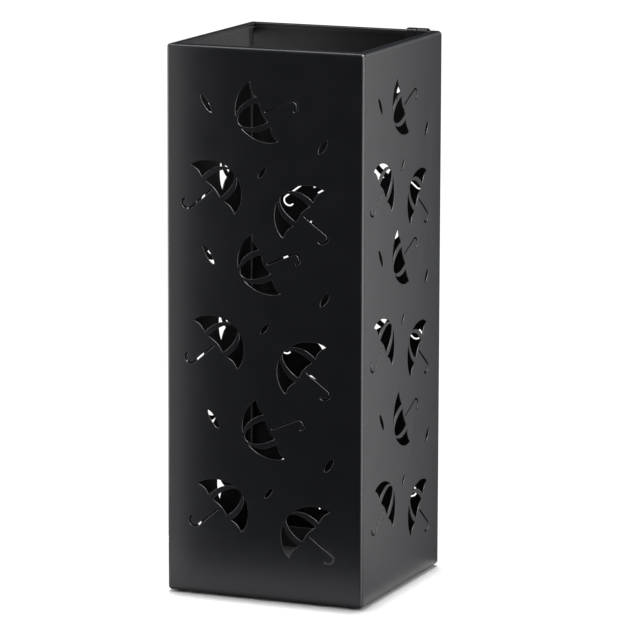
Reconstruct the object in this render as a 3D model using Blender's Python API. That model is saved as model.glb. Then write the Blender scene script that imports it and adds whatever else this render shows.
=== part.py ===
"""Square umbrella stand: a folded sheet-steel box with umbrella and raindrop cut-outs.

Two steel shells make the four walls, the folded rim and the turned-in bottom
flange.  A base plate lies on the flange, four rubber pads stand under it, a
plastic drip tray lifts out, and two strip hooks hang over the back of the rim.

Metres, +Z up, front face towards -Y, origin on the floor at the middle.
"""

import math

import bmesh
import bpy
from mathutils import Matrix, Vector

# Driving dimensions of the box
WIDTH = 0.155
BODY_HEIGHT = 0.4055
SHEET = 0.0008
BEND_RADIUS = 0.003
RIM_WIDTH = 0.007
LIP_DROP = 0.0035
LIP_RADIUS = 0.0012
FLANGE_WIDTH = 0.018
SHARP_RADIUS = 0.00025
GAP = 0.0003

# Where the two shells meet: this far round the corner that the front shell wraps
SEAM_RETURN = 0.008
MITRE_LENGTH = 0.0055
MITRE_WIDTH = 0.00035

# Feet, base plate and tray
FOOT_HEIGHT = 0.0012
FOOT_RADIUS = 0.0065
FOOT_INSET = 0.0105
PLATE_INSET = 0.0024
PLATE_THICKNESS = 0.001
PLATE_CORNER = 0.002
TRAY_WIDTH = 0.138
TRAY_HEIGHT = 0.018
TRAY_WALL = 0.0015
TRAY_TAPER = 0.0015
TRAY_CORNER = 0.010
TRAY_EDGE = 0.003
TRAY_BEAD = 0.0012

# Strip hooks over the back of the rim
HOOK_WIDTH = 0.0076
HOOK_THICKNESS = 0.0012
HOOK_PITCH = 0.0084
HOOK_LEFT_X = 0.0552
HOOK_OUTER_LEG = 0.014
HOOK_INNER_LEG = 0.038
HOOK_THROAT_RADIUS = 0.007
HOOK_TIP = 0.005

# One umbrella, upright, measured from the middle of its hem
CANOPY_HALF = 0.0253
CANOPY_HEIGHT = 0.0223
CANOPY_ROUNDNESS = 1.75
RIB_CENTRE = 0.005
INNER_RIB = (0.0086, 0.0168)
OUTER_RIB = (0.0131, 0.0176)
GORE_TOP = 0.0212
SCALLOP = 0.0015
HEM_RISE = 0.0003
SHAFT_X = -0.0004
SHAFT_TOP = -0.0017
SHAFT_END = -0.0232
CROOK_WIDTH = 0.0042
CROOK_DEPTH = 0.0036
CROOK_TIP = 0.0008
SLOT_WIDTH = 0.0013

# The pattern on one wall: across from the wall's left edge, up from its bottom
PATTERN_SQUASH = 0.92
UPPER_ROWS = ((0.0, 0.0), (0.0019, -0.1107), (0.0055, -0.2321))
LOWER_ROWS = ((0.0, 0.0), (0.0021, -0.1141), (0.0053, -0.2355))
UPPER_UMBRELLA = (0.0770, 0.3595, 25.5)
LOWER_LEFT_UMBRELLA = (0.0369, 0.3011, 223.0)
LOWER_RIGHT_UMBRELLA = (0.1081, 0.2870, -38.4)
LEFT_DROP = (0.0318, 0.3635, -57.0, 0.0155, 0.0038)
RIGHT_DROP = (0.1232, 0.3365, 58.0, 0.0120, 0.0042)
MIDDLE_DROP = (0.0760, 0.3154, 53.0, 0.0098, 0.0030)

# How finely curves are divided
CORNER_STEPS = 4
BEND_STEPS = 4
LIP_STEPS = 2
DOME_STEPS = 5
RIB_STEPS = 4
SCALLOP_STEPS = 3
CROOK_STEPS = 4
DROP_STEPS = 3
FOOT_STEPS = 32

# Worked out from the above
HALF = WIDTH / 2
RIM_TOP = FOOT_HEIGHT + BODY_HEIGHT
PLATE_BOTTOM = FOOT_HEIGHT + SHEET + GAP
TRAY_BOTTOM = PLATE_BOTTOM + PLATE_THICKNESS + GAP


def clear_scene():
    for old in list(bpy.data.objects):
        bpy.data.objects.remove(old, do_unlink=True)


def make_material(name, colour, roughness, metallic):
    material = bpy.data.materials.new(name)
    material.use_nodes = True
    shader = material.node_tree.nodes["Principled BSDF"]
    shader.inputs["Base Color"].default_value = (*colour, 1.0)
    shader.inputs["Roughness"].default_value = roughness
    shader.inputs["Metallic"].default_value = metallic
    return material


def powder_coat(name):
    return make_material(name, (0.018, 0.018, 0.020), 0.42, 0.0)


def tray_plastic():
    return make_material("tray_plastic", (0.020, 0.020, 0.021), 0.55, 0.0)


def foot_rubber():
    return make_material("foot_rubber", (0.025, 0.025, 0.025), 0.85, 0.0)


def mesh_from(bm, name):
    bmesh.ops.recalc_face_normals(bm, faces=bm.faces)
    mesh = bpy.data.meshes.new(name)
    bm.to_mesh(mesh)
    bm.free()
    return mesh


def add_object(name, mesh, material):
    obj = bpy.data.objects.new(name, mesh)
    bpy.context.scene.collection.objects.link(obj)
    mesh.materials.clear()
    mesh.materials.append(material)
    mesh.shade_smooth()
    mesh.set_sharp_from_angle(angle=math.radians(32))
    return obj


def add_cutter(name, mesh):
    obj = bpy.data.objects.new(name, mesh)
    bpy.context.scene.collection.objects.link(obj)
    obj.hide_render = True
    obj.display_type = "WIRE"
    return obj


def boolean(obj, operation, cutter):
    modifier = obj.modifiers.new(cutter.name, "BOOLEAN")
    modifier.operation = operation
    modifier.object = cutter
    modifier.solver = "EXACT"


def arc(centre, radii, start, end, steps):
    """Points along an ellipse's arc, from one angle to another in degrees."""
    points = []
    for step in range(steps + 1):
        angle = math.radians(start + (end - start) * step / steps)
        x = centre[0] + radii[0] * math.cos(angle)
        y = centre[1] + radii[1] * math.sin(angle)
        points.append((x, y))
    return points


def rounded_square(half, radius, steps=CORNER_STEPS):
    """A square outline with round corners, anticlockwise seen from above."""
    points = []
    middle = half - radius
    for quarter in range(4):
        turn = 90 * quarter + 45
        side = math.sqrt(2) * middle
        centre = (
            side * math.cos(math.radians(turn)),
            side * math.sin(math.radians(turn)),
        )
        points += arc(centre, (radius, radius), 90 * quarter, 90 * quarter + 90, steps)
    return points


def ring(bm, outline, height):
    return [bm.verts.new((x, y, height)) for x, y in outline]


def bridge(bm, first, second):
    count = len(first)
    for i in range(count):
        j = (i + 1) % count
        bm.faces.new((first[i], first[j], second[j], second[i]))


def prism(bm, outline, low, high):
    """A closed prism between two heights."""
    bottom = ring(bm, outline, low)
    top = ring(bm, outline, high)
    bridge(bm, bottom, top)
    bm.faces.new(bottom[::-1])
    bm.faces.new(top)


def sheet_section():
    """The folded sheet seen end on: distance in from the outer face, and height."""
    top = BODY_HEIGHT
    bend = BEND_RADIUS
    inner = BEND_RADIUS - SHEET
    lip = LIP_RADIUS
    lip_inner = LIP_RADIUS - SHEET
    lip_centre = (RIM_WIDTH - lip, top - lip)
    section = [(RIM_WIDTH, top - LIP_DROP)]
    section += arc(lip_centre, (lip, lip), 0, 90, LIP_STEPS)
    section += arc((bend, top - bend), (bend, bend), 90, 180, BEND_STEPS)
    section += arc((bend, bend), (bend, bend), 180, 270, BEND_STEPS)
    section += [(FLANGE_WIDTH, 0.0), (FLANGE_WIDTH, SHEET)]
    section += arc((bend, bend), (inner, inner), 270, 180, BEND_STEPS)
    section += arc((bend, top - bend), (inner, inner), 180, 90, BEND_STEPS)
    section += arc(lip_centre, (lip_inner, lip_inner), 90, 0, LIP_STEPS)
    section.append((RIM_WIDTH - SHEET, top - LIP_DROP))
    return section


def tube_mesh():
    """Walls, rim and bottom flange in one piece, before it is parted into two shells."""
    bm = bmesh.new()
    rings = []
    for inset, height in sheet_section():
        radius = max(BEND_RADIUS - inset, SHARP_RADIUS)
        outline = rounded_square(HALF - inset, radius)
        rings.append(ring(bm, outline, FOOT_HEIGHT + height))
    for i, first in enumerate(rings):
        bridge(bm, first, rings[(i + 1) % len(rings)])
    return mesh_from(bm, "tube")


def seam_region_mesh(grow):
    """The part of the plan that the front shell fills, pushed outwards by grow."""
    far = 2 * WIDTH
    seam = HALF - SEAM_RETURN - grow
    step = grow * math.sqrt(2) / 2
    corner = HALF - SEAM_RETURN
    outline = [
        (-far, -seam),
        (-corner - step, -seam),
        (corner - step - GAP, corner + step - GAP),
        (seam, corner + step),
        (seam, far),
        (far, far),
        (far, -far),
        (-far, -far),
    ]
    bm = bmesh.new()
    prism(bm, outline, -WIDTH, BODY_HEIGHT + WIDTH)
    return mesh_from(bm, "seam_region")


def mitre_mesh():
    """Four thin slabs on the diagonals that open the rim's mitred corners."""
    bm = bmesh.new()
    start = math.sqrt(2) * (HALF - RIM_WIDTH) - RIM_WIDTH / 2
    end = math.sqrt(2) * (HALF - RIM_WIDTH) + MITRE_LENGTH
    half = MITRE_WIDTH / 2
    for quarter in range(4):
        turn = Matrix.Rotation(math.radians(45 + 90 * quarter), 2)
        slab = [(start, -half), (end, -half), (end, half), (start, half)]
        outline = [tuple(turn @ Vector(point)) for point in slab]
        prism(bm, outline, RIM_TOP - LIP_DROP - LIP_RADIUS, RIM_TOP + LIP_RADIUS)
    return mesh_from(bm, "mitres")


def rib_width(radii, height):
    """Half the distance between the two ribs at a height above the hem."""
    share = (height - RIB_CENTRE) / radii[1]
    return radii[0] * math.sqrt(max(0.0, 1 - share * share))


def dome_point(share):
    """A point on the canopy's top edge, from the tip (0) to the crown (1)."""
    angle = share * math.pi / 2
    power = 2 / CANOPY_ROUNDNESS
    x = CANOPY_HALF * math.cos(angle) ** power
    y = CANOPY_HEIGHT * math.sin(angle) ** power
    return x, y


def dome_share(height):
    """How far round the dome a height above the hem is reached."""
    return math.asin((height / CANOPY_HEIGHT) ** (CANOPY_ROUNDNESS / 2)) * 2 / math.pi


def scallop(start, end):
    """The hem between two rib ends, hollowed upwards; both ends included."""
    points = []
    for step in range(SCALLOP_STEPS + 1):
        share = step / SCALLOP_STEPS
        x = start[0] + (end[0] - start[0]) * share
        y = start[1] + (end[1] - start[1]) * share
        points.append((x, y + SCALLOP * math.sin(math.pi * share)))
    return points


def rib_curve(radii, low, high):
    """Points up one rib's edge on the right-hand side."""
    points = []
    for step in range(RIB_STEPS + 1):
        height = low + (high - low) * math.sin(math.pi / 2 * step / RIB_STEPS)
        points.append((rib_width(radii, height), height))
    return points


def middle_gore():
    crown = RIB_CENTRE + INNER_RIB[1]
    right = rib_curve(INNER_RIB, HEM_RISE, crown)
    left = [(-x, y) for x, y in right[-2::-1]]
    return scallop(left[-1], right[0])[:-1] + right + left[:-1]


def side_gore():
    """The right-hand gore, between the outer rib edge and the canopy's outline."""
    end = dome_share(GORE_TOP)
    dome = [dome_point(end * step / DOME_STEPS) for step in range(DOME_STEPS + 1)]
    rib = rib_curve(OUTER_RIB, HEM_RISE, GORE_TOP)[::-1]
    return scallop(rib[-1], dome[0])[:-1] + dome + rib[:-1]


def mirrored(outline):
    return [(-x, y) for x, y in outline[::-1]]


def slot_outline(path, width):
    """The outline of a narrow slot that follows a path, with blunt ends."""
    left, right = [], []
    for i, point in enumerate(path):
        before = Vector(path[max(i - 1, 0)])
        after = Vector(path[min(i + 1, len(path) - 1)])
        along = (after - before).normalized()
        side = Vector((-along.y, along.x)) * width / 2
        left.append(tuple(Vector(point) + side))
        right.append(tuple(Vector(point) - side))
    return right + left[::-1]


def handle():
    """Shaft and crook, hooking to the left."""
    centre = (SHAFT_X - CROOK_WIDTH, SHAFT_END)
    path = [(SHAFT_X, SHAFT_TOP)]
    path += arc(centre, (CROOK_WIDTH, CROOK_DEPTH), 0, -180, CROOK_STEPS)
    path.append((SHAFT_X - 2 * CROOK_WIDTH, SHAFT_END + CROOK_TIP))
    return slot_outline(path, SLOT_WIDTH)


def umbrella_outlines():
    side = side_gore()
    return [middle_gore(), side, mirrored(side), handle()]


def drop_outline(length, width):
    """A raindrop slot, pointed at both ends."""
    points = []
    for step in range(2 * DROP_STEPS):
        angle = math.pi * step / DROP_STEPS
        swell = abs(math.sin(angle)) ** 1.2
        side = math.copysign(swell, math.sin(angle))
        points.append((length / 2 * math.cos(angle), width / 2 * side))
    return points


def place_umbrella(outline, across, up, heading):
    """Turn an upright outline so that its handle points along heading, in degrees."""
    angle = math.radians(heading)
    down = Vector((math.cos(angle), math.sin(angle)))
    right = Vector((-down.y, down.x))
    placed = []
    for x, y in outline:
        spot = right * x - down * y
        placed.append((across + spot.x, up + spot.y * PATTERN_SQUASH))
    return placed


def place_drop(across, up, heading, length, width):
    turn = Matrix.Rotation(math.radians(heading), 2)
    placed = []
    for point in drop_outline(length, width):
        spot = turn @ Vector(point)
        placed.append((across + spot.x, up + spot.y))
    return placed


def wall_outlines():
    """Every cut-out in one wall: across from its left edge, up from its bottom."""
    groups = (
        (UPPER_ROWS, (UPPER_UMBRELLA,), (LEFT_DROP, RIGHT_DROP)),
        (LOWER_ROWS, (LOWER_LEFT_UMBRELLA, LOWER_RIGHT_UMBRELLA), (MIDDLE_DROP,)),
    )
    outlines = []
    for rows, umbrellas, drops in groups:
        for across, up in rows:
            for x, z, heading in umbrellas:
                for outline in umbrella_outlines():
                    outlines.append(place_umbrella(outline, x + across, z + up, heading))
            for x, z, heading, length, width in drops:
                outlines.append(place_drop(x + across, z + up, heading, length, width))
    return outlines


def pattern_mesh():
    """The front wall's cut-outs as closed prisms that pass through the sheet."""
    bm = bmesh.new()
    for outline in wall_outlines():
        prism(bm, outline, HALF - 3 * SHEET, HALF + 2 * SHEET)
    swing = Matrix.Rotation(math.radians(90), 4, "X")
    shift = Matrix.Translation((-HALF, 0, FOOT_HEIGHT))
    bmesh.ops.transform(bm, matrix=shift @ swing, verts=bm.verts)
    return mesh_from(bm, "pattern")


def make_shells():
    tube = tube_mesh()
    pattern = pattern_mesh()
    mitres = add_cutter("mitre_cutter", mitre_mesh())
    front = add_object("shell_front_right", tube, powder_coat("powder_coat_front"))
    back = add_object("shell_back_left", tube.copy(), powder_coat("powder_coat_back"))
    boolean(front, "INTERSECT", add_cutter("seam_front", seam_region_mesh(0.0)))
    boolean(back, "DIFFERENCE", add_cutter("seam_back", seam_region_mesh(GAP)))
    for quarter, shell in enumerate((front, front, back, back)):
        cutter = add_cutter(f"pattern_cutter_{quarter}", pattern)
        cutter.rotation_euler.z = math.radians(90 * quarter)
        boolean(shell, "DIFFERENCE", cutter)
    for shell in (front, back):
        boolean(shell, "DIFFERENCE", mitres)


def make_base_plate():
    bm = bmesh.new()
    outline = rounded_square(HALF - PLATE_INSET, PLATE_CORNER)
    prism(bm, outline, PLATE_BOTTOM, PLATE_BOTTOM + PLATE_THICKNESS)
    add_object("base_plate", mesh_from(bm, "base_plate"), powder_coat("powder_coat_base"))


def make_feet():
    bm = bmesh.new()
    outline = arc((0, 0), (FOOT_RADIUS, FOOT_RADIUS), 0, 360, FOOT_STEPS)[:-1]
    prism(bm, outline, 0.0, FOOT_HEIGHT - GAP)
    mesh = mesh_from(bm, "foot")
    rubber = foot_rubber()
    place = HALF - FOOT_INSET
    sides = {"left": -place, "right": place}
    ends = {"front": -place, "back": place}
    for end, y in ends.items():
        for side, x in sides.items():
            foot = add_object(f"foot_{end}_{side}", mesh, rubber)
            foot.location = (x, y, 0.0)


def tray_rings():
    """Half width and height of each ring up the outside and down the inside."""
    low = TRAY_BOTTOM
    high = TRAY_BOTTOM + TRAY_HEIGHT
    bead = TRAY_WIDTH / 2
    top = bead - TRAY_BEAD
    bottom = top - TRAY_TAPER
    outer = arc((bottom - TRAY_EDGE, low + TRAY_EDGE), (TRAY_EDGE, TRAY_EDGE), -90, 0, 3)
    outer += [(top, high - TRAY_BEAD), (bead, high - TRAY_BEAD), (bead, high)]
    edge = TRAY_EDGE - TRAY_WALL / 2
    middle = (bottom - TRAY_WALL - edge, low + TRAY_WALL + edge)
    inner = [(top - TRAY_WALL, high)] + arc(middle, (edge, edge), 0, -90, 3)
    return outer + inner


def make_tray():
    bm = bmesh.new()
    rings = []
    for half, height in tray_rings():
        radius = TRAY_CORNER - (TRAY_WIDTH / 2 - half)
        rings.append(ring(bm, rounded_square(half, radius), height))
    for first, second in zip(rings, rings[1:]):
        bridge(bm, first, second)
    bm.faces.new(rings[0])
    bm.faces.new(rings[-1])
    add_object("drip_tray", mesh_from(bm, "drip_tray"), tray_plastic())


def hook_path():
    """The strip's middle line seen from its side: (y, z), from the outer leg's end to the tip."""
    reach = GAP + HOOK_THICKNESS / 2
    saddle = BEND_RADIUS + reach
    inner = LIP_RADIUS + reach
    outer_y = HALF + reach
    inner_y = HALF - RIM_WIDTH - reach
    throat = HOOK_THROAT_RADIUS
    floor = RIM_TOP - HOOK_INNER_LEG
    path = [(outer_y, RIM_TOP - HOOK_OUTER_LEG)]
    path += arc((HALF - BEND_RADIUS, RIM_TOP - BEND_RADIUS), (saddle, saddle), 0, 90, 5)
    lip_centre = (HALF - RIM_WIDTH + LIP_RADIUS, RIM_TOP - LIP_RADIUS)
    path += arc(lip_centre, (inner, inner), 90, 180, 4)
    path += arc((inner_y - throat, floor), (throat, throat), 0, -180, 10)
    path.append((inner_y - 2 * throat, floor + HOOK_TIP))
    return path


def make_hooks():
    bm = bmesh.new()
    outline = slot_outline(hook_path(), HOOK_THICKNESS)
    prism(bm, outline, -HOOK_WIDTH / 2, HOOK_WIDTH / 2)
    upright = Matrix(((0, 0, 1, 0), (1, 0, 0, 0), (0, 1, 0, 0), (0, 0, 0, 1)))
    bmesh.ops.transform(bm, matrix=upright, verts=bm.verts)
    mesh = mesh_from(bm, "hook")
    coat = powder_coat("powder_coat_hook")
    for index, side in enumerate(("left", "right")):
        hook = add_object(f"hook_{side}", mesh, coat)
        hook.location.x = HOOK_LEFT_X + HOOK_PITCH * index


def main():
    clear_scene()
    make_shells()
    make_base_plate()
    make_feet()
    make_tray()
    make_hooks()


main()
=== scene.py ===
"""Finished look of the square steel umbrella stand: fine geometry, powder coat, studio."""

import math

import bmesh
import bpy
from mathutils import Matrix, Vector


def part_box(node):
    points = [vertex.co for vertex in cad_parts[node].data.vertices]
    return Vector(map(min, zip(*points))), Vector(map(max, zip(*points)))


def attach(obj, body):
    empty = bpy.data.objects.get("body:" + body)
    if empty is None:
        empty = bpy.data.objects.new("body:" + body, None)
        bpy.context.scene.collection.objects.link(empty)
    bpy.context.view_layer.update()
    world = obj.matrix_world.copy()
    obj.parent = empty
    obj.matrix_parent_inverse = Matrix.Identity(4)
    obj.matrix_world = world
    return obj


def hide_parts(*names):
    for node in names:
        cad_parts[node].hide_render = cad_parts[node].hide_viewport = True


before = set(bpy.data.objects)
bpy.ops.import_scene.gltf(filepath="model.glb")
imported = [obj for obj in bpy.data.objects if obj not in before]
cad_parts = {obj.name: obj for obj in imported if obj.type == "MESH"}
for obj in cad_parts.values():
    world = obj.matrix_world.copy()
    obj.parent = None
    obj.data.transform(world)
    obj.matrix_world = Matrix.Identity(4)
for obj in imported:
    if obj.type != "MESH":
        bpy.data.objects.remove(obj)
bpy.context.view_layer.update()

MM = 0.001

# Sheet metal of the box, as in the CAD model
SHEET = 0.8 * MM
BEND_RADIUS = 3.0 * MM
RIM_WIDTH = 7.0 * MM
LIP_DROP = 3.5 * MM
LIP_RADIUS = 1.2 * MM
FLANGE_WIDTH = 18.0 * MM
SHARP_RADIUS = 0.25 * MM
GAP = 0.3 * MM
SEAM_RETURN = 8.0 * MM
MITRE_LENGTH = 5.5 * MM
MITRE_WIDTH = 0.35 * MM
DEBURR = 0.12 * MM
EDGE_RADIUS = 0.30 * MM

# One umbrella, upright, measured from the middle of its hem
CANOPY_HALF = 25.3 * MM
CANOPY_HEIGHT = 22.3 * MM
CANOPY_ROUNDNESS = 1.75
RIB_CENTRE = 5.0 * MM
INNER_RIB = (8.6 * MM, 16.8 * MM)
OUTER_RIB = (13.1 * MM, 17.6 * MM)
GORE_TOP = 21.2 * MM
SCALLOP = 1.5 * MM
HEM_RISE = 0.3 * MM
SHAFT_X = -0.4 * MM
SHAFT_TOP = -1.7 * MM
SHAFT_END = -23.2 * MM
CROOK_WIDTH = 4.2 * MM
CROOK_DEPTH = 3.6 * MM
CROOK_TIP = 0.8 * MM
SLOT_WIDTH = 1.3 * MM
DROP_TAPER = 1.2

# The pattern on one wall: across from its left edge, up from its bottom, heading
PATTERN_SQUASH = 0.92
UPPER_ROWS = ((0.0, 0.0), (1.9 * MM, -110.7 * MM), (5.5 * MM, -232.1 * MM))
LOWER_ROWS = ((0.0, 0.0), (2.1 * MM, -114.1 * MM), (5.3 * MM, -235.5 * MM))
UPPER_UMBRELLA = (77.0 * MM, 359.5 * MM, 25.5)
LOWER_LEFT_UMBRELLA = (36.9 * MM, 301.1 * MM, 223.0)
LOWER_RIGHT_UMBRELLA = (108.1 * MM, 287.0 * MM, -38.4)
LEFT_DROP = (31.8 * MM, 363.5 * MM, -57.0, 15.5 * MM, 3.8 * MM)
RIGHT_DROP = (123.2 * MM, 336.5 * MM, 58.0, 12.0 * MM, 4.2 * MM)
MIDDLE_DROP = (76.0 * MM, 315.4 * MM, 53.0, 9.8 * MM, 3.0 * MM)

# Strip hooks
HOOK_THICKNESS = 1.2 * MM
HOOK_OUTER_LEG = 14.0 * MM
HOOK_INNER_LEG = 38.0 * MM
HOOK_THROAT_RADIUS = 7.0 * MM
HOOK_TIP = 5.0 * MM
HOOK_EDGE = 0.3 * MM
HOOK_EASE = 0.3

# Tray and feet
TRAY_WALL = 1.5 * MM
TRAY_TAPER = 1.5 * MM
TRAY_CORNER = 10.0 * MM
TRAY_EDGE = 3.0 * MM
TRAY_BEAD = 1.2 * MM
FOOT_EDGE = 0.5 * MM

# How finely curves are divided
CORNER_STEPS = 8
BEND_STEPS = 8
LIP_STEPS = 5
DOME_STEPS = 18
RIB_STEPS = 12
SCALLOP_STEPS = 8
CROOK_STEPS = 14
DROP_STEPS = 9
CAP_STEPS = 6
SADDLE_STEPS = 14
STRIP_LIP_STEPS = 12
THROAT_STEPS = 32
FOOT_STEPS = 64
FOOT_EDGE_STEPS = 4

# Shading: the angle in degrees that stays smooth, and how much large faces count
SMOOTH_ANGLE = 50
FACE_WEIGHT = 100

# The least divisor of a mitre, which keeps an offset corner from running to a spike
MITRE_LIMIT = 0.35

# Surfaces: the range of each one's colour and roughness, and the scale of its noises
COAT_COLOURS = ((0.0034, 0.0038, 0.0056), (0.0046, 0.0050, 0.0068))
COAT_ROUGHNESS = (0.30, 0.34)
COAT_IOR = 1.42
COAT_SHADE_SCALE = 18.0
COAT_GLOSS_SCALE = 55.0
PEEL_SCALE = 900.0
GRAIN_SCALE = 4200.0
PLASTIC_COLOURS = ((0.012, 0.012, 0.013), (0.017, 0.017, 0.018))
PLASTIC_ROUGHNESS = (0.48, 0.58)
PLASTIC_SHADE_SCALE = 30.0
PLASTIC_GLOSS_SCALE = 90.0
PLASTIC_GRAIN_SCALE = 2600.0
RUBBER_COLOURS = ((0.018, 0.018, 0.018), (0.030, 0.030, 0.030))
RUBBER_ROUGHNESS = (0.78, 0.92)
RUBBER_SHADE_SCALE = 400.0
RUBBER_GLOSS_SCALE = 700.0
RUBBER_PORE_SCALE = 3500.0
FLOOR_COLOURS = ((0.345, 0.345, 0.345), (0.355, 0.355, 0.355))
FLOOR_SCALE = 6.0
FLOOR_ROUGHNESS = 0.9
FLOOR_SPECULAR = 0.1
NOISE_SPAN = (0.3, 0.7)

# Floor: its left, right, front and back sides
FLOOR_SIDES = (-0.18, 0.088, -0.16, 0.088)

# Studio: the white backdrop, the dim room, and the key, whose spread is in degrees
BACKDROP_GLOW = 1.1
ROOM_GLOW = 0.03
KEY_PLACE = (-0.03, 0.08, 2.6)
KEY_SPREAD = 3.6
KEY_STRENGTH = 9.0

# Each panel: its name, place, the point that it faces, width and height, and radiance
EDGE_PANEL = ("edge_light", (0.46, -0.34, 1.01), (0.0, -0.0775, 0.25), (0.66, 0.66), 24.0)
PANELS = (
    ("overhead", (-0.42, -0.20, 1.40), (0.0, 0.0, 0.4), (0.45, 0.45), 8.0),
    ("left_strip", (-0.109, -0.138, 0.21), (-0.083, -0.0775, 0.21), (0.03, 0.50), 2.2),
    ("left", (-0.58, -0.11, 0.28), (-0.0775, -0.0775, 0.25), (0.70, 0.64), 5.0),
    ("left_back", (-0.30, 0.10, 0.20), (-0.0775, -0.0775, 0.20), (0.25, 0.60), 1.5),
    ("right_back", (0.44, 0.28, 0.23), (0.0775, -0.05, 0.23), (0.50, 0.70), 1.48),
    ("right_front", (0.60, -0.25, 0.23), (0.0775, -0.0775, 0.23), (0.60, 0.70), 6.2),
    ("back_left", (-0.45, 1.10, 0.32), (0.0, 0.0, 0.40), (0.9, 0.30), 0.4),
    ("back_right", (0.50, 1.10, 0.75), (0.0, 0.0, 0.40), (0.9, 0.45), 0.6),
    ("well_front", (0.0, -0.0765, 0.368), (0.0, 0.0, 0.368), (0.15, 0.05), 0.20),
    ("well_left", (-0.0765, 0.0, 0.372), (0.0, 0.0, 0.372), (0.15, 0.05), 1.1),
    ("well_back", (-0.038, 0.0765, 0.388), (-0.038, 0.0, 0.388), (0.077, 0.034), 0.55),
)

# Camera: where it looks and from where, with angles in degrees
CAMERA_HEADING = 22.58
CAMERA_HEIGHT_ANGLE = 10.303
CAMERA_ROLL = 0.158
CAMERA_DISTANCE = 3.308
AIM_HEIGHT = 201.0 * MM
AIM_SIDE = 6.1 * MM
LENS_MM = 256.8
SENSOR_MM = 36.0
CAMERA_REACH = 20.0

shell_low, shell_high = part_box("shell_front_right")
HALF = shell_high.x
FOOT_HEIGHT = shell_low.z
RIM_TOP = shell_high.z
BODY_HEIGHT = RIM_TOP - FOOT_HEIGHT


# ---------------------------------------------------------------- outlines


def arc(centre, radii, start, end, steps):
    """Points along an ellipse's arc, from one angle to another in degrees."""
    points = []
    for step in range(steps + 1):
        angle = math.radians(start + (end - start) * step / steps)
        x = centre[0] + radii[0] * math.cos(angle)
        y = centre[1] + radii[1] * math.sin(angle)
        points.append((x, y))
    return points


def rounded_square(half, radius, steps=CORNER_STEPS):
    """A square outline with round corners, anticlockwise seen from above."""
    points = []
    middle = half - radius
    for quarter in range(4):
        turn = math.radians(90 * quarter + 45)
        side = math.sqrt(2) * middle
        centre = (side * math.cos(turn), side * math.sin(turn))
        points += arc(centre, (radius, radius), 90 * quarter, 90 * quarter + 90, steps)
    return points


def offset(outline, distance):
    """The outline with every point moved outwards along its mitre."""
    moved = []
    count = len(outline)
    for i, point in enumerate(outline):
        here = Vector(point)
        before = (here - Vector(outline[i - 1])).normalized()
        after = (Vector(outline[(i + 1) % count]) - here).normalized()
        first = Vector((before.y, -before.x))
        second = Vector((after.y, -after.x))
        mitre = (first + second) / max(1 + first.dot(second), MITRE_LIMIT)
        moved.append(tuple(here + mitre * distance))
    return moved


def anticlockwise(outline):
    """The outline, turned round if it runs clockwise."""
    area = 0.0
    for i, (x, y) in enumerate(outline):
        area += outline[i - 1][0] * y - x * outline[i - 1][1]
    return outline if area > 0 else outline[::-1]


def rib_width(radii, height):
    """How far a rib's edge is from the middle of the canopy, at one height."""
    share = (height - RIB_CENTRE) / radii[1]
    return radii[0] * math.sqrt(max(0.0, 1 - share * share))


def dome_point(share):
    """A point on the canopy's top edge, from the tip (0) to the crown (1)."""
    angle = share * math.pi / 2
    power = 2 / CANOPY_ROUNDNESS
    x = CANOPY_HALF * math.cos(angle) ** power
    y = CANOPY_HEIGHT * math.sin(angle) ** power
    return x, y


def dome_share(height):
    """Where along the canopy's top edge a height is reached."""
    return math.asin((height / CANOPY_HEIGHT) ** (CANOPY_ROUNDNESS / 2)) * 2 / math.pi


def scallop(start, end):
    """The hem between two rib ends, hollowed upwards; both ends included."""
    points = []
    for step in range(SCALLOP_STEPS + 1):
        share = step / SCALLOP_STEPS
        x = start[0] + (end[0] - start[0]) * share
        y = start[1] + (end[1] - start[1]) * share
        points.append((x, y + SCALLOP * math.sin(math.pi * share)))
    return points


def rib_curve(radii, low, high):
    """A rib's edge on the right-hand side, from low to high."""
    points = []
    for step in range(RIB_STEPS + 1):
        height = low + (high - low) * math.sin(math.pi / 2 * step / RIB_STEPS)
        points.append((rib_width(radii, height), height))
    return points


def middle_gore():
    """The cut-out between the two ribs."""
    right = rib_curve(INNER_RIB, HEM_RISE, RIB_CENTRE + INNER_RIB[1])
    left = [(-x, y) for x, y in right[-2::-1]]
    return scallop(left[-1], right[0])[:-1] + right + left[:-1]


def side_gore():
    """The cut-out outside the right-hand rib."""
    end = dome_share(GORE_TOP)
    dome = [dome_point(end * step / DOME_STEPS) for step in range(DOME_STEPS + 1)]
    rib = rib_curve(OUTER_RIB, HEM_RISE, GORE_TOP)[::-1]
    return scallop(rib[-1], dome[0])[:-1] + dome + rib[:-1]


def mirrored(outline):
    """The outline's mirror image, in the same sense of turning."""
    return [(-x, y) for x, y in outline[::-1]]


def strip_outline(path, width, cap_steps=0):
    """The outline of a narrow strip that follows a path, with blunt or round ends."""
    left, right = [], []
    for i, point in enumerate(path):
        before = Vector(path[max(i - 1, 0)])
        after = Vector(path[min(i + 1, len(path) - 1)])
        along = (after - before).normalized()
        side = Vector((-along.y, along.x)) * width / 2
        left.append(tuple(Vector(point) + side))
        right.append(tuple(Vector(point) - side))
    if not cap_steps:
        return right + left[::-1]
    end_cap = round_cap(path[-2], path[-1], width, cap_steps)
    start_cap = round_cap(path[1], path[0], width, cap_steps)
    return right + end_cap + left[::-1] + start_cap


def round_cap(inner, end, width, steps):
    """The points of a half circle past the end of a strip, between its two sides."""
    heading = math.degrees(math.atan2(end[1] - inner[1], end[0] - inner[0]))
    return arc(end, (width / 2, width / 2), heading - 90, heading + 90, steps)[1:-1]


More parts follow.
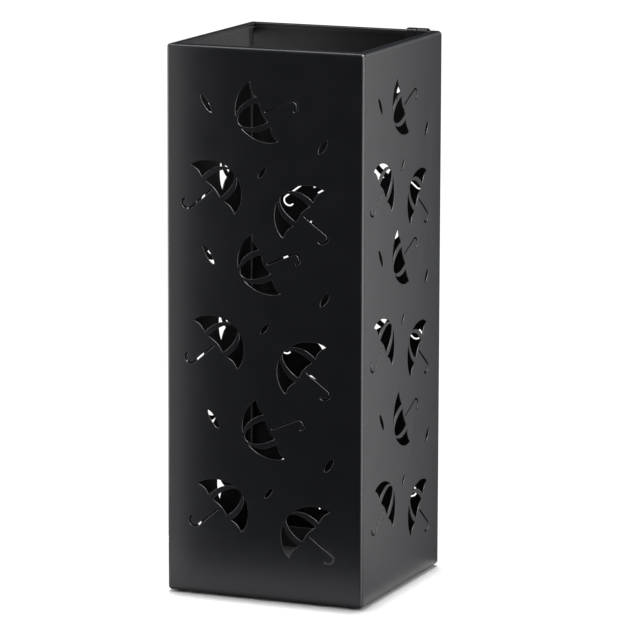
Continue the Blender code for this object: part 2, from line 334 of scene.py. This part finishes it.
def handle():
    """Shaft and crook, hooking to the left."""
    centre = (SHAFT_X - CROOK_WIDTH, SHAFT_END)
    path = [(SHAFT_X, SHAFT_TOP)]
    path += arc(centre, (CROOK_WIDTH, CROOK_DEPTH), 0, -180, CROOK_STEPS)
    path.append((SHAFT_X - 2 * CROOK_WIDTH, SHAFT_END + CROOK_TIP))
    return strip_outline(path, SLOT_WIDTH, cap_steps=CAP_STEPS)


def umbrella_outlines():
    """The four cut-outs of one upright umbrella."""
    side = side_gore()
    return [middle_gore(), side, mirrored(side), handle()]


def drop_outline(length, width):
    """A raindrop with two pointed ends, lying along x."""
    points = []
    for step in range(2 * DROP_STEPS):
        angle = math.pi * step / DROP_STEPS
        swell = abs(math.sin(angle)) ** DROP_TAPER
        side = math.copysign(swell, math.sin(angle))
        points.append((length / 2 * math.cos(angle), width / 2 * side))
    return points


def place_umbrella(outline, across, up, heading):
    """Turn an upright outline so that its handle points along heading, in degrees."""
    angle = math.radians(heading)
    down = Vector((math.cos(angle), math.sin(angle)))
    right = Vector((-down.y, down.x))
    placed = []
    for x, y in outline:
        spot = right * x - down * y
        placed.append((across + spot.x, up + spot.y * PATTERN_SQUASH))
    return placed


def place_drop(across, up, heading, length, width):
    """A raindrop moved to its place on the wall and turned, in degrees."""
    turn = Matrix.Rotation(math.radians(heading), 2)
    placed = []
    for point in drop_outline(length, width):
        spot = turn @ Vector(point)
        placed.append((across + spot.x, up + spot.y))
    return placed


def wall_outlines():
    """Every cut-out in one wall: across from its left edge, up from its bottom."""
    groups = (
        (UPPER_ROWS, (UPPER_UMBRELLA,), (LEFT_DROP, RIGHT_DROP)),
        (LOWER_ROWS, (LOWER_LEFT_UMBRELLA, LOWER_RIGHT_UMBRELLA), (MIDDLE_DROP,)),
    )
    outlines = []
    for rows, umbrellas, drops in groups:
        for across, up in rows:
            for x, z, heading in umbrellas:
                for outline in umbrella_outlines():
                    outlines.append(place_umbrella(outline, x + across, z + up, heading))
            for x, z, heading, length, width in drops:
                outlines.append(place_drop(x + across, z + up, heading, length, width))
    return [anticlockwise(outline) for outline in outlines]


# ---------------------------------------------------------------- meshes


def ring(bm, outline, height):
    """The vertices of an outline at one height."""
    return [bm.verts.new((x, y, height)) for x, y in outline]


def bridge(bm, first, second):
    """A band of quads between two rings of equal length."""
    count = len(first)
    for i in range(count):
        j = (i + 1) % count
        bm.faces.new((first[i], first[j], second[j], second[i]))


def loft(bm, rings):
    """A closed body through rings of equal length, with both ends capped."""
    for first, second in zip(rings, rings[1:]):
        bridge(bm, first, second)
    bm.faces.new(rings[0][::-1])
    bm.faces.new(rings[-1])


def prism(bm, outline, low, high):
    """An outline's closed body between two heights."""
    loft(bm, [ring(bm, outline, low), ring(bm, outline, high)])


def mesh_from(bm, name):
    """A mesh with its faces pointing outwards; the bmesh is freed."""
    bmesh.ops.recalc_face_normals(bm, faces=bm.faces)
    mesh = bpy.data.meshes.new(name)
    bm.to_mesh(mesh)
    bm.free()
    return mesh


def link(name, mesh):
    """A new object in the scene."""
    obj = bpy.data.objects.new(name, mesh)
    bpy.context.scene.collection.objects.link(obj)
    return obj


def smooth(obj):
    """Smooth shading whose normals follow the large flat faces."""
    obj.data.shade_smooth()
    obj.data.set_sharp_from_angle(angle=math.radians(SMOOTH_ANGLE))
    weighted = obj.modifiers.new("weighted_normals", "WEIGHTED_NORMAL")
    weighted.keep_sharp = True
    weighted.weight = FACE_WEIGHT


def carve(name, mesh, steps):
    """A new object: the mesh after a list of (operation, cutter mesh, turn) steps."""
    obj = link(name, mesh)
    helpers = []
    for index, (operation, cutter_mesh, turn) in enumerate(steps):
        cutter = link(f"{name}_cutter_{index}", cutter_mesh)
        cutter.rotation_euler.z = math.radians(turn)
        helpers.append(cutter)
        modifier = obj.modifiers.new(f"step_{index}", "BOOLEAN")
        modifier.operation = operation
        modifier.object = cutter
        modifier.solver = "EXACT"
    bpy.context.view_layer.update()
    graph = bpy.context.evaluated_depsgraph_get()
    carved = bpy.data.meshes.new_from_object(obj.evaluated_get(graph))
    for helper in helpers:
        bpy.data.objects.remove(helper, do_unlink=True)
    obj.modifiers.clear()
    obj.data = carved
    carved.name = name
    return obj


# ---------------------------------------------------------------- box


def sheet_section():
    """The folded sheet seen end on: distance in from the outer face, and height."""
    top = BODY_HEIGHT
    bend = BEND_RADIUS
    inner = BEND_RADIUS - SHEET
    lip = LIP_RADIUS
    lip_inner = LIP_RADIUS - SHEET
    lip_centre = (RIM_WIDTH - lip, top - lip)
    section = [(RIM_WIDTH - DEBURR, top - LIP_DROP), (RIM_WIDTH, top - LIP_DROP + DEBURR)]
    section += arc(lip_centre, (lip, lip), 0, 90, LIP_STEPS)
    section += arc((bend, top - bend), (bend, bend), 90, 180, BEND_STEPS)
    section += arc((bend, bend), (bend, bend), 180, 270, BEND_STEPS)
    section += [(FLANGE_WIDTH, 0.0), (FLANGE_WIDTH, SHEET)]
    section += arc((bend, bend), (inner, inner), 270, 180, BEND_STEPS)
    section += arc((bend, top - bend), (inner, inner), 180, 90, BEND_STEPS)
    section += arc(lip_centre, (lip_inner, lip_inner), 90, 0, LIP_STEPS)
    section.append((RIM_WIDTH - SHEET, top - LIP_DROP))
    return section


def tube_mesh():
    """The whole folded box before it is divided: walls, rim, lip and bottom flange."""
    bm = bmesh.new()
    rings = []
    for inset, height in sheet_section():
        radius = max(BEND_RADIUS - inset, SHARP_RADIUS)
        rings.append(ring(bm, rounded_square(HALF - inset, radius), FOOT_HEIGHT + height))
    for i, first in enumerate(rings):
        bridge(bm, first, rings[(i + 1) % len(rings)])
    return mesh_from(bm, "tube")


def seam_region_mesh(grow):
    """The part of the plan that the front shell fills, pushed outwards by grow."""
    far = 4 * HALF
    seam = HALF - SEAM_RETURN - grow
    step = grow * math.sqrt(2) / 2
    corner = HALF - SEAM_RETURN
    outline = [
        (-far, -seam),
        (-corner - step, -seam),
        (corner - step - GAP, corner + step - GAP),
        (seam, corner + step),
        (seam, far),
        (far, far),
        (far, -far),
        (-far, -far),
    ]
    bm = bmesh.new()
    prism(bm, outline, -far, RIM_TOP + far)
    return mesh_from(bm, "seam_region")


def mitre_mesh():
    """Four thin slabs on the diagonals that open the rim's mitred corners."""
    bm = bmesh.new()
    start = math.sqrt(2) * (HALF - RIM_WIDTH) - RIM_WIDTH / 2
    end = math.sqrt(2) * (HALF - RIM_WIDTH) + MITRE_LENGTH
    half = MITRE_WIDTH / 2
    for quarter in range(4):
        turn = Matrix.Rotation(math.radians(45 + 90 * quarter), 2)
        slab = [(start, -half), (end, -half), (end, half), (start, half)]
        outline = [tuple(turn @ Vector(point)) for point in slab]
        prism(bm, outline, RIM_TOP - LIP_DROP - LIP_RADIUS, RIM_TOP + LIP_RADIUS)
    return mesh_from(bm, "mitres")


def pattern_mesh():
    """The front wall's cut-outs, each flared at both faces to round the sheet's edges."""
    bm = bmesh.new()
    edge = EDGE_RADIUS
    eased = edge * (1 - math.sqrt(0.5))
    inner = HALF - SHEET
    levels = (
        (HALF + edge, 2 * edge),
        (HALF, edge),
        (HALF - eased, eased),
        (HALF - edge, 0.0),
        (inner + edge, 0.0),
        (inner + eased, eased),
        (inner, edge),
        (inner - edge, 2 * edge),
    )
    for outline in wall_outlines():
        loft(bm, [ring(bm, offset(outline, grow), depth) for depth, grow in levels])
    swing = Matrix.Rotation(math.radians(90), 4, "X")
    shift = Matrix.Translation((-HALF, 0, FOOT_HEIGHT))
    bmesh.ops.transform(bm, matrix=shift @ swing, verts=bm.verts)
    return mesh_from(bm, "pattern")


def make_shells(coat):
    """The two shells: the box divided at its seams, with the pattern and mitres cut."""
    pattern = pattern_mesh()
    mitres = mitre_mesh()
    parts = (
        ("skin_front_right", "shell_front_right", "INTERSECT", 0.0, (0, 90)),
        ("skin_back_left", "shell_back_left", "DIFFERENCE", GAP, (180, 270)),
    )
    for name, node, operation, grow, turns in parts:
        steps = [(operation, seam_region_mesh(grow), 0)]
        steps += [("DIFFERENCE", pattern, turn) for turn in turns]
        steps.append(("DIFFERENCE", mitres, 0))
        skin = carve(name, tube_mesh(), steps)
        finish_piece(skin, coat, "stand", node)


def finish_piece(obj, material, body, node):
    """Its material, its shading, the body that carries it and the node it stands for."""
    obj.data.materials.clear()
    obj.data.materials.append(material)
    smooth(obj)
    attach(obj, body)
    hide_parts(node)


# ---------------------------------------------------------------- smaller pieces


def make_tray(plastic):
    """The drip tray: a tapered wall with a rounded bead, and a rounded floor edge."""
    low_corner, high_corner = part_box("drip_tray")
    low = low_corner.z
    high = high_corner.z
    bead = high_corner.x
    top = bead - TRAY_BEAD
    bottom = top - TRAY_TAPER
    lip = TRAY_BEAD / 3
    profile = arc(
        (bottom - TRAY_EDGE, low + TRAY_EDGE), (TRAY_EDGE, TRAY_EDGE), -90, 0, BEND_STEPS
    )
    profile += [(top, high - TRAY_BEAD)]
    profile += arc((bead - lip, high - TRAY_BEAD + lip), (lip, lip), -90, 0, LIP_STEPS)
    profile += arc((bead - lip, high - lip), (lip, lip), 0, 90, LIP_STEPS)
    inside = top - TRAY_WALL
    profile += arc((inside + lip, high - lip), (lip, lip), 90, 180, LIP_STEPS)
    edge = TRAY_EDGE - TRAY_WALL / 2
    middle = (bottom - TRAY_WALL - edge, low + TRAY_WALL + edge)
    profile += arc(middle, (edge, edge), 0, -90, BEND_STEPS)
    bm = bmesh.new()
    rings = []
    for half, height in profile:
        radius = TRAY_CORNER - (bead - half)
        rings.append(ring(bm, rounded_square(half, radius), height))
    loft(bm, rings)
    tray = link("tray_fine", mesh_from(bm, "tray_fine"))
    finish_piece(tray, plastic, "tray", "drip_tray")


def hook_path():
    """The strip's middle line seen from its side: (y, z), from the outer leg to the tip."""
    reach = GAP + HOOK_THICKNESS / 2
    saddle = BEND_RADIUS + reach
    inner = LIP_RADIUS + reach
    outer_y = HALF + reach
    inner_y = HALF - RIM_WIDTH - reach
    throat = HOOK_THROAT_RADIUS
    floor = RIM_TOP - HOOK_INNER_LEG
    path = [(outer_y, RIM_TOP - HOOK_OUTER_LEG)]
    saddle_centre = (HALF - BEND_RADIUS, RIM_TOP - BEND_RADIUS)
    path += arc(saddle_centre, (saddle, saddle), 0, 90, SADDLE_STEPS)
    lip_centre = (HALF - RIM_WIDTH + LIP_RADIUS, RIM_TOP - LIP_RADIUS)
    path += arc(lip_centre, (inner, inner), 90, 180, STRIP_LIP_STEPS)
    path += arc((inner_y - throat, floor), (throat, throat), 0, -180, THROAT_STEPS)
    path.append((inner_y - 2 * throat, floor + HOOK_TIP))
    return path


def make_hooks(coat):
    """The two strip hooks, each a flat strip bent along the same path."""
    outline = anticlockwise(strip_outline(hook_path(), HOOK_THICKNESS))
    for side in ("left", "right"):
        node = f"hook_{side}"
        low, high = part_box(node)
        bm = bmesh.new()
        eased = HOOK_EDGE * HOOK_EASE
        levels = (
            (low.x, -HOOK_EDGE),
            (low.x + eased, -eased),
            (low.x + HOOK_EDGE, 0.0),
            (high.x - HOOK_EDGE, 0.0),
            (high.x - eased, -eased),
            (high.x, -HOOK_EDGE),
        )
        loft(bm, [ring(bm, offset(outline, grow), x) for x, grow in levels])
        upright = Matrix(((0, 0, 1, 0), (1, 0, 0, 0), (0, 1, 0, 0), (0, 0, 0, 1)))
        bmesh.ops.transform(bm, matrix=upright, verts=bm.verts)
        strip = link(f"strip_hook_{side}", mesh_from(bm, f"strip_hook_{side}"))
        finish_piece(strip, coat, f"{side}_hook", node)


def coat_base_plate(coat):
    """The base plate keeps the CAD model's mesh and gets the powder coat."""
    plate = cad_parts["base_plate"]
    plate.data.materials.clear()
    plate.data.materials.append(coat)


def make_feet(rubber):
    """Four round pads with rounded edges."""
    for place in ("front_left", "front_right", "back_left", "back_right"):
        node = f"foot_{place}"
        low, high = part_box(node)
        centre = (low + high) / 2
        radius = (high.x - low.x) / 2
        bm = bmesh.new()
        rings = []
        inner = radius - FOOT_EDGE
        edge = (FOOT_EDGE, FOOT_EDGE)
        profile = arc((inner, low.z + FOOT_EDGE), edge, -90, 0, FOOT_EDGE_STEPS)
        profile += arc((inner, high.z - FOOT_EDGE), edge, 0, 90, FOOT_EDGE_STEPS)
        for reach, height in profile:
            outline = arc((centre.x, centre.y), (reach, reach), 0, 360, FOOT_STEPS)[:-1]
            rings.append(ring(bm, outline, height))
        loft(bm, rings)
        pad = link(f"pad_{place}", mesh_from(bm, f"pad_{place}"))
        finish_piece(pad, rubber, "stand", node)


# ---------------------------------------------------------------- materials


class Nodes:
    """Small helper for building one material's node tree."""

    def __init__(self, name):
        self.material = bpy.data.materials.new(name)
        self.material.use_nodes = True
        self.tree = self.material.node_tree
        self.shader = self.tree.nodes["Principled BSDF"]
        self.coords = self.add("ShaderNodeTexCoord").outputs["Object"]

    def add(self, kind, **values):
        """A new node with some of its properties set."""
        node = self.tree.nodes.new(kind)
        for name, value in values.items():
            setattr(node, name, value)
        return node

    def link(self, output, socket):
        self.tree.links.new(output, socket)

    def noise(self, scale, detail=2.0, roughness=0.5):
        """Noise in the object's own coordinates."""
        node = self.add("ShaderNodeTexNoise")
        node.inputs["Scale"].default_value = scale
        node.inputs["Detail"].default_value = detail
        node.inputs["Roughness"].default_value = roughness
        self.link(self.coords, node.inputs["Vector"])
        return node.outputs["Fac"]

    def spread(self, factor, low, high):
        """Noise stretched to run from low to high."""
        node = self.add("ShaderNodeMapRange")
        node.inputs["From Min"].default_value = NOISE_SPAN[0]
        node.inputs["From Max"].default_value = NOISE_SPAN[1]
        node.inputs["To Min"].default_value = low
        node.inputs["To Max"].default_value = high
        self.link(factor, node.inputs["Value"])
        return node.outputs["Result"]

    def blend_colours(self, factor, first, second):
        """A colour between two others."""
        node = self.add("ShaderNodeMix", data_type="RGBA")
        self.link(factor, node.inputs["Factor"])
        node.inputs["A"].default_value = (*first, 1.0)
        node.inputs["B"].default_value = (*second, 1.0)
        return node.outputs["Result"]

    def bump(self, height, strength, distance, under=None):
        """A surface raised by a height, on top of another bump if one is given."""
        node = self.add("ShaderNodeBump")
        node.inputs["Strength"].default_value = strength
        node.inputs["Distance"].default_value = distance
        self.link(height, node.inputs["Height"])
        if under:
            self.link(under, node.inputs["Normal"])
        return node.outputs["Normal"]


def powder_coat():
    """Satin black powder coat: orange peel, a fine grain, and slight changes in gloss."""
    nodes = Nodes("powder_coat")
    shade = nodes.noise(COAT_SHADE_SCALE, detail=3.0)
    colour = nodes.blend_colours(shade, *COAT_COLOURS)
    nodes.link(colour, nodes.shader.inputs["Base Color"])
    gloss = nodes.noise(COAT_GLOSS_SCALE, detail=4.0, roughness=0.6)
    nodes.link(nodes.spread(gloss, *COAT_ROUGHNESS), nodes.shader.inputs["Roughness"])
    peel = nodes.noise(PEEL_SCALE, detail=2.0)
    peel_bump = nodes.bump(peel, strength=0.25, distance=0.03 * MM)
    grain = nodes.noise(GRAIN_SCALE, detail=1.0)
    grain_bump = nodes.bump(grain, strength=0.18, distance=0.01 * MM, under=peel_bump)
    nodes.link(grain_bump, nodes.shader.inputs["Normal"])
    nodes.shader.inputs["IOR"].default_value = COAT_IOR
    return nodes.material


def moulded_plastic():
    """Black moulded plastic with a fine eroded texture."""
    nodes = Nodes("moulded_plastic")
    shade = nodes.noise(PLASTIC_SHADE_SCALE, detail=2.0)
    colour = nodes.blend_colours(shade, *PLASTIC_COLOURS)
    nodes.link(colour, nodes.shader.inputs["Base Color"])
    gloss = nodes.noise(PLASTIC_GLOSS_SCALE)
    nodes.link(nodes.spread(gloss, *PLASTIC_ROUGHNESS), nodes.shader.inputs["Roughness"])
    texture = nodes.noise(PLASTIC_GRAIN_SCALE, detail=3.0, roughness=0.7)
    texture_bump = nodes.bump(texture, strength=0.45, distance=0.03 * MM)
    nodes.link(texture_bump, nodes.shader.inputs["Normal"])
    return nodes.material


def pad_rubber():
    """Dense black foam rubber with fine pores."""
    nodes = Nodes("pad_rubber")
    shade = nodes.noise(RUBBER_SHADE_SCALE, detail=2.0)
    colour = nodes.blend_colours(shade, *RUBBER_COLOURS)
    nodes.link(colour, nodes.shader.inputs["Base Color"])
    gloss = nodes.noise(RUBBER_GLOSS_SCALE)
    nodes.link(nodes.spread(gloss, *RUBBER_ROUGHNESS), nodes.shader.inputs["Roughness"])
    pores = nodes.noise(RUBBER_PORE_SCALE, detail=3.0, roughness=0.75)
    pore_bump = nodes.bump(pores, strength=0.6, distance=0.05 * MM)
    nodes.link(pore_bump, nodes.shader.inputs["Normal"])
    return nodes.material


def floor_white():
    """Matt grey paper, which the key light turns white."""
    nodes = Nodes("floor_white")
    shade = nodes.noise(FLOOR_SCALE, detail=2.0)
    colour = nodes.blend_colours(shade, *FLOOR_COLOURS)
    nodes.link(colour, nodes.shader.inputs["Base Color"])
    nodes.shader.inputs["Roughness"].default_value = FLOOR_ROUGHNESS
    nodes.shader.inputs["Specular IOR Level"].default_value = FLOOR_SPECULAR
    return nodes.material


# ---------------------------------------------------------------- studio


def make_floor():
    """A small board under the stand; past its edges the white backdrop goes on."""
    bm = bmesh.new()
    left, right, front, back = FLOOR_SIDES
    outline = [(left, front), (right, front), (right, back), (left, back)]
    bm.faces.new(ring(bm, outline, 0.0))
    floor = link("floor", mesh_from(bm, "floor"))
    floor.data.materials.append(floor_white())


def add_lamp(name, kind, place, aim, **values):
    """A lamp turned towards aim, hidden from the camera."""
    data = bpy.data.lights.new(name, kind)
    for key, value in values.items():
        setattr(data, key, value)
    lamp = bpy.data.objects.new(name, data)
    lamp.location = place
    heading = Vector(aim) - Vector(place)
    lamp.rotation_euler = heading.to_track_quat("-Z", "Y").to_euler()
    lamp.visible_camera = False
    bpy.context.scene.collection.objects.link(lamp)
    return lamp


def add_panel(name, place, aim, size, radiance):
    """A soft rectangular light, as bright all over as radiance says."""
    power = radiance * math.pi * size[0] * size[1]
    return add_lamp(
        name, "AREA", place, aim, shape="RECTANGLE", size=size[0], size_y=size[1], energy=power
    )


def make_world():
    """White behind the object for the camera, dim all round for everything else."""
    world = bpy.data.worlds.new("studio")
    bpy.context.scene.world = world
    world.use_nodes = True
    tree = world.node_tree
    background = tree.nodes["Background"]
    background.inputs["Color"].default_value = (ROOM_GLOW, ROOM_GLOW, ROOM_GLOW, 1.0)
    seen = tree.nodes.new("ShaderNodeBackground")
    seen.inputs["Color"].default_value = (1.0, 1.0, 1.0, 1.0)
    seen.inputs["Strength"].default_value = BACKDROP_GLOW
    path = tree.nodes.new("ShaderNodeLightPath")
    mix = tree.nodes.new("ShaderNodeMixShader")
    tree.links.new(path.outputs["Is Camera Ray"], mix.inputs["Fac"])
    tree.links.new(background.outputs["Background"], mix.inputs[1])
    tree.links.new(seen.outputs["Background"], mix.inputs[2])
    tree.links.new(mix.outputs["Shader"], tree.nodes["World Output"].inputs["Surface"])


def make_lights():
    """A high key for the floor, and soft panels that the coat reflects."""
    spread = math.radians(KEY_SPREAD)
    key = add_lamp("key", "SUN", KEY_PLACE, (0.0, 0.0, 0.0), angle=spread, energy=KEY_STRENGTH)
    key.visible_glossy = False
    # The edge light is only reflected: it draws bright lines along the sheet's cut edges
    edge_light = add_panel(*EDGE_PANEL)
    edge_light.visible_diffuse = False
    for panel in PANELS:
        add_panel(*panel)


def make_camera():
    """A long lens in front of the stand and to its right, looking slightly down."""
    heading = math.radians(CAMERA_HEADING)
    pitch = math.radians(CAMERA_HEIGHT_ANGLE)
    roll = math.radians(CAMERA_ROLL)
    level = Vector((math.sin(heading), -math.cos(heading), 0.0)) * math.cos(pitch)
    back = level + Vector((0.0, 0.0, math.sin(pitch)))
    right = Vector((math.cos(heading), math.sin(heading), 0.0))
    up = back.cross(right)
    aim = right * AIM_SIDE + Vector((0.0, 0.0, AIM_HEIGHT))
    across = right * math.cos(roll) + up * math.sin(roll)
    above = up * math.cos(roll) - right * math.sin(roll)
    data = bpy.data.cameras.new("camera")
    data.lens = LENS_MM
    data.sensor_width = SENSOR_MM
    data.clip_end = CAMERA_REACH
    camera = bpy.data.objects.new("camera", data)
    turn = Matrix((across, above, back)).transposed().to_4x4()
    camera.matrix_world = Matrix.Translation(aim + back * CAMERA_DISTANCE) @ turn
    bpy.context.scene.collection.objects.link(camera)
    bpy.context.scene.camera = camera


def main():
    """Build every piece, then the studio round it."""
    coat = powder_coat()
    make_shells(coat)
    make_hooks(coat)
    make_tray(moulded_plastic())
    make_feet(pad_rubber())
    coat_base_plate(coat)
    make_floor()
    make_world()
    make_lights()
    make_camera()
    bpy.context.scene.view_settings.view_transform = "Standard"


main()
